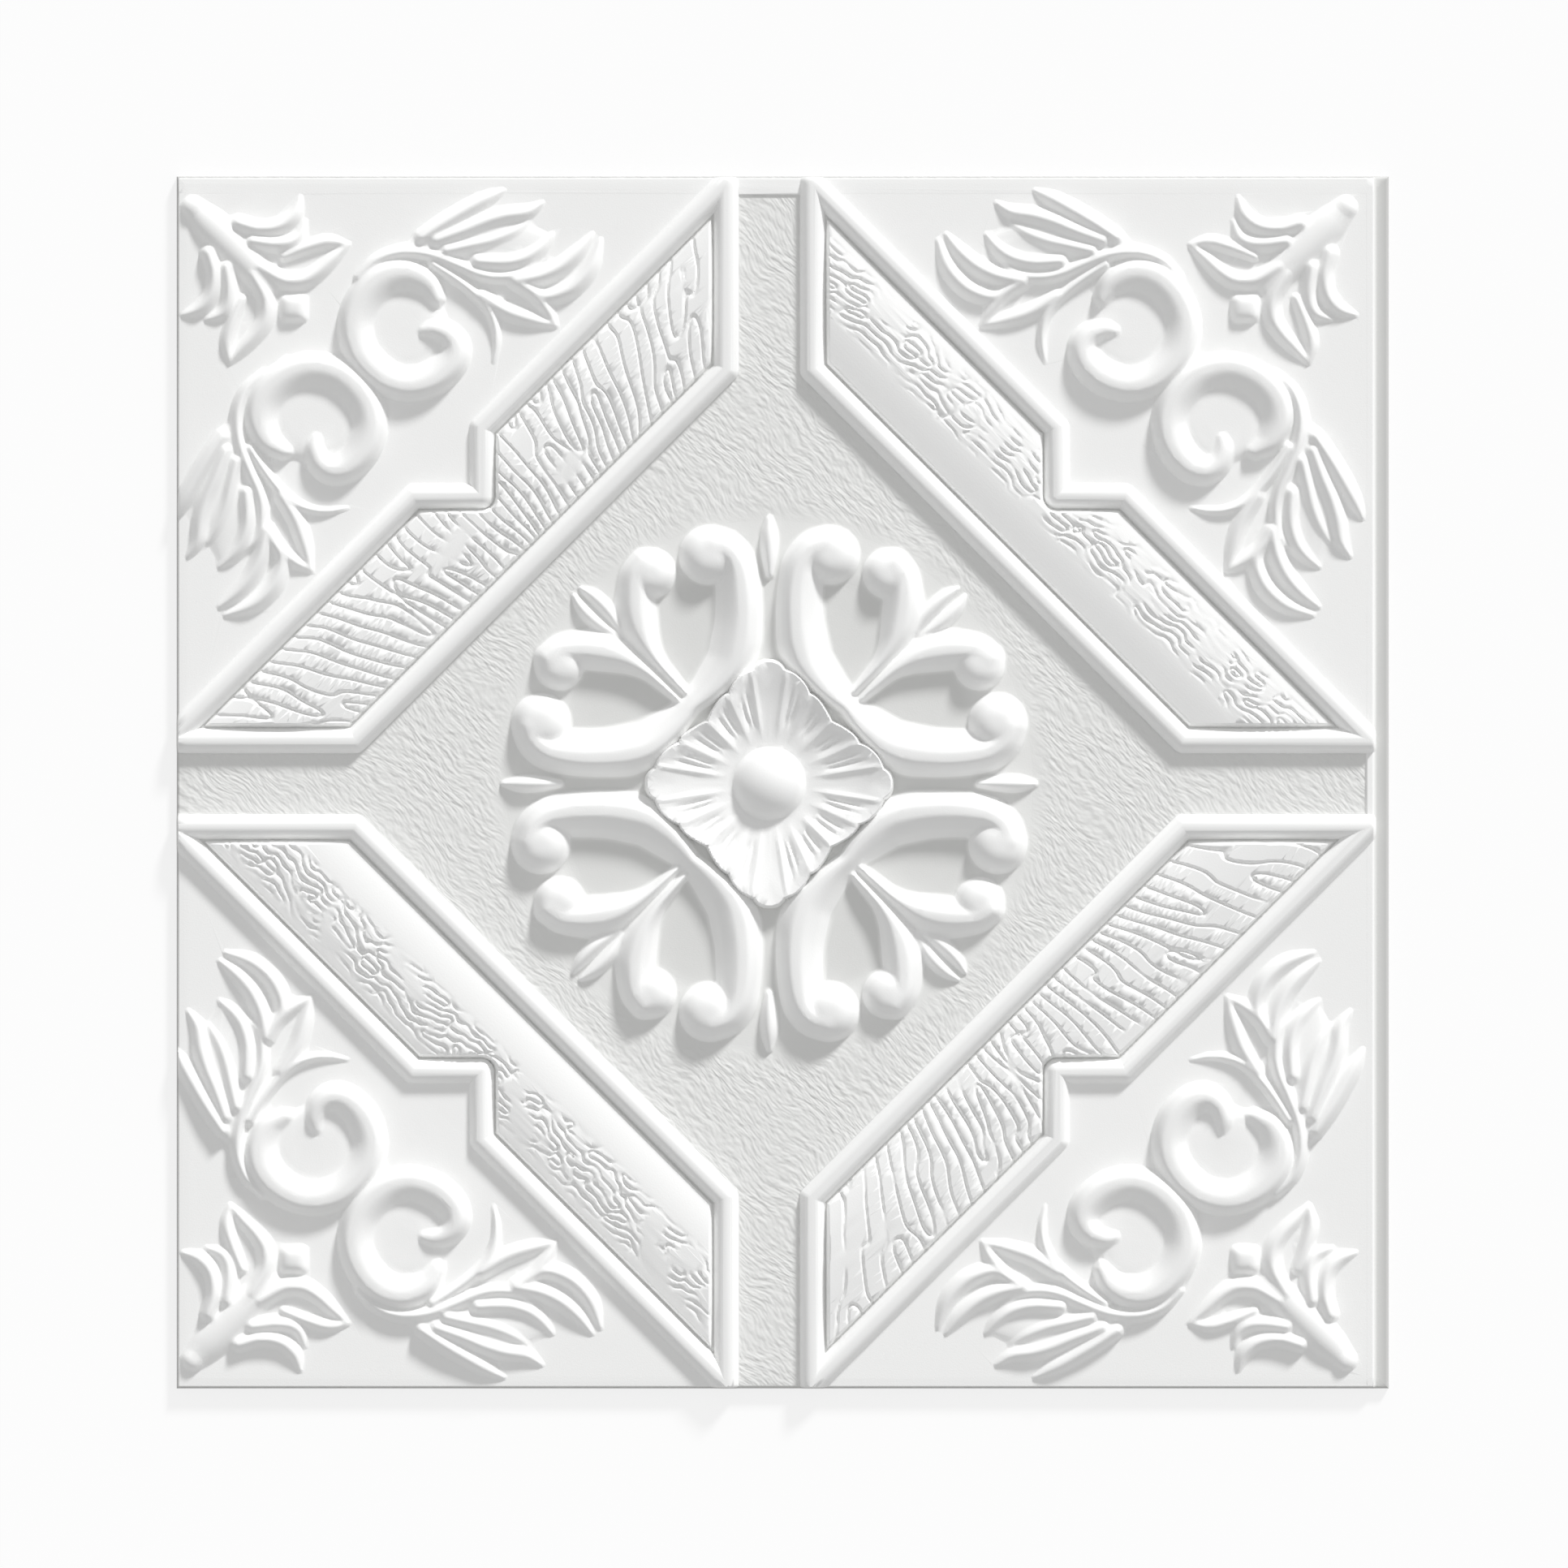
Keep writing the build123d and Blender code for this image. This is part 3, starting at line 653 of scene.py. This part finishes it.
def make_foam():
    """Matte white foam, softly mottled, wrinkled like leather on the field. Its colour carries painted shade:
    darker on the field and darker still in the hollows, whiter on the crests than on the field but a little
    greyer than the ground, and dark along the edges and the flange.
    """
    material = bpy.data.materials.new("foam")
    material.use_nodes = True
    shader = material.node_tree.nodes["Principled BSDF"]
    nodes = Nodes(material.node_tree)
    place = nodes.add("TexCoord").outputs["Object"]
    place = nodes.scaled(place, 1 / MM, 1 / MM, 1 / MM)
    split = nodes.add("SeparateXYZ", place).outputs

    # Painted shade by height: darker on the field, darker still below it, a little greyer on the crests than on
    # the ground
    colour = nodes.mix(nodes.ramp(split[2], HOLLOW, FIELD), HOLLOW_SHADE_COLOUR, RECESS_SHADE_COLOUR)
    colour = nodes.mix(nodes.ramp(split[2], FIELD + 0.1, GROUND - 0.1), colour, GROUND_COLOUR)
    colour = nodes.mix(nodes.ramp(split[2], CREST_START, CREST_HEIGHT), colour, CREST_COLOUR)
    # Mottle: tone that varies at random, up to a twentieth of the way to the field's darker colour
    mottle = nodes.noise(nodes.scaled(place, *[1 / MOTTLE_SIZE] * 3), 4.0)
    colour = nodes.mix(nodes.ramp(mottle, 0.3, 0.7, 0.0, 0.05), colour, RECESS_SHADE_COLOUR)
    # Painted shade: a dark line round the rounded edge, and over the flange on the right
    side = nodes.math("MAXIMUM", nodes.math("ABSOLUTE", split[0]), nodes.math("ABSOLUTE", split[1]))
    half_side = CAD_BOX[1][0] / MM
    edge = nodes.ramp(side, half_side - EDGE_ROUND, half_side - 0.3)
    flange = nodes.ramp(split[0], half_side - FLANGE + 0.8, half_side - 1.0)
    colour = nodes.mix(nodes.math("MAXIMUM", edge, flange), colour, EDGE_SHADE_COLOUR)
    nodes.put(shader.inputs["Base Color"], colour)

    # Wrinkles run from upper left to lower right, and wander
    along = nodes.math("SUBTRACT", split[0], split[1])
    across = nodes.math("ADD", split[0], split[1])
    wander = nodes.noise(nodes.scaled(place, 0.05, 0.05, 0), 1.0)
    across = nodes.math("MULTIPLY_ADD", wander, 14.0, across)
    folds = nodes.add("CombineXYZ", along, across).outputs[0]
    diagonal = math.sqrt(0.5)
    folds = nodes.scaled(folds, diagonal / LEATHER_LENGTH, diagonal / LEATHER_WIDTH, 0)
    leather = nodes.noise(folds, 1.0)
    from_centre = nodes.add("VectorMath", place, (*PATTERN_CENTRE, 0), operation="SUBTRACT").outputs[0]
    from_centre = nodes.scaled(from_centre, 1, 1, 0)
    radius = nodes.add("VectorMath", from_centre, operation="LENGTH").outputs["Value"]
    on_field = nodes.math(
        "MULTIPLY", nodes.ramp(radius, LEATHER_START, LEATHER_FULL),
        nodes.ramp(split[2], FIELD + 0.05, FIELD + 0.35, 1.0, 0.0))
    on_field = nodes.math("MULTIPLY", on_field, nodes.math("LESS_THAN", split[0], half_side - FLANGE - 0.5))
    leather = nodes.math("MULTIPLY", leather, on_field)
    grain = nodes.noise(nodes.scaled(place, *[1 / GRAIN_SIZE] * 3), 3.0)
    normal = nodes.bump(grain, GRAIN_DEPTH, nodes.bump(leather, LEATHER_DEPTH))
    nodes.put(shader.inputs["Normal"], normal)
    nodes.put(shader.inputs["Roughness"], nodes.ramp(mottle, 0.3, 0.7, 0.58, 0.72))
    shader.inputs["Specular IOR Level"].default_value = 0.3
    return material


def make_panel():
    relief = make_heights()
    mesh = make_panel_mesh(*relief)
    piece = bpy.data.objects.new("moulded_panel", mesh)
    bpy.context.scene.collection.objects.link(piece)
    thin(piece)
    piece.data.materials.append(make_foam())
    shade(piece.data, *relief)
    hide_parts("ceiling_panel")
    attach(piece, "root")
    return piece


def make_floor():
    """Plain white floor. The camera sees it nearly white, with a light shadow of the panel."""
    size = 3.0
    mesh = bpy.data.meshes.new("floor")
    corners = [(-size, -size, 0), (size, -size, 0), (size, size, 0), (-size, size, 0)]
    mesh.from_pydata(corners, [], [(0, 1, 2, 3)])
    floor = bpy.data.objects.new("floor", mesh)
    bpy.context.scene.collection.objects.link(floor)
    material = bpy.data.materials.new("floor")
    material.use_nodes = True
    nodes, links = material.node_tree.nodes, material.node_tree.links
    nodes.clear()
    output = nodes.new("ShaderNodeOutputMaterial")
    mix = nodes.new("ShaderNodeMixShader")
    diffuse = nodes.new("ShaderNodeBsdfDiffuse")
    diffuse.inputs["Color"].default_value = (0.9, 0.9, 0.9, 1)
    glow = nodes.new("ShaderNodeEmission")
    glow.inputs["Strength"].default_value = 1.06
    path = nodes.new("ShaderNodeLightPath")
    seen = nodes.new("ShaderNodeMath")
    seen.operation = "MAXIMUM"
    share = nodes.new("ShaderNodeMath")
    share.operation = "MULTIPLY"
    share.inputs[1].default_value = 0.7
    links.new(path.outputs["Is Camera Ray"], seen.inputs[0])
    links.new(path.outputs["Is Glossy Ray"], seen.inputs[1])
    links.new(seen.outputs[0], share.inputs[0])
    links.new(share.outputs[0], mix.inputs["Fac"])
    links.new(diffuse.outputs[0], mix.inputs[1])
    links.new(glow.outputs[0], mix.inputs[2])
    links.new(mix.outputs[0], output.inputs["Surface"])
    mesh.materials.append(material)


def make_light():
    key = bpy.data.lights.new("key", "SUN")
    key.energy = KEY_STRENGTH
    key.angle = math.radians(KEY_SPREAD)
    lamp = bpy.data.objects.new("key", key)
    lamp.rotation_euler = (0, math.radians(90 - KEY_ELEVATION), math.radians(KEY_AZIMUTH))
    bpy.context.scene.collection.objects.link(lamp)
    world = bpy.data.worlds.new("studio")
    world.use_nodes = True
    nodes, links = world.node_tree.nodes, world.node_tree.links
    background = nodes["Background"]
    background.inputs["Color"].default_value = (1, 1, 1, 1)
    path = nodes.new("ShaderNodeLightPath")
    strength = nodes.new("ShaderNodeMapRange")
    strength.inputs["To Min"].default_value = FILL_STRENGTH
    strength.inputs["To Max"].default_value = 1.0
    links.new(path.outputs["Is Camera Ray"], strength.inputs["Value"])
    links.new(strength.outputs[0], background.inputs["Strength"])
    bpy.context.scene.world = world


def make_camera():
    data = bpy.data.cameras.new("camera")
    data.sensor_width = SENSOR
    data.lens = SENSOR * (CAMERA_HEIGHT - GROUND) / PHOTO_WIDTH
    camera = bpy.data.objects.new("camera", data)
    camera.location = (PHOTO_CENTRE[0] * MM, PHOTO_CENTRE[1] * MM, CAMERA_HEIGHT * MM)
    bpy.context.scene.collection.objects.link(camera)
    bpy.context.scene.camera = camera


make_panel()
make_floor()
make_light()
make_camera()
bpy.context.scene.view_settings.view_transform = "Standard"
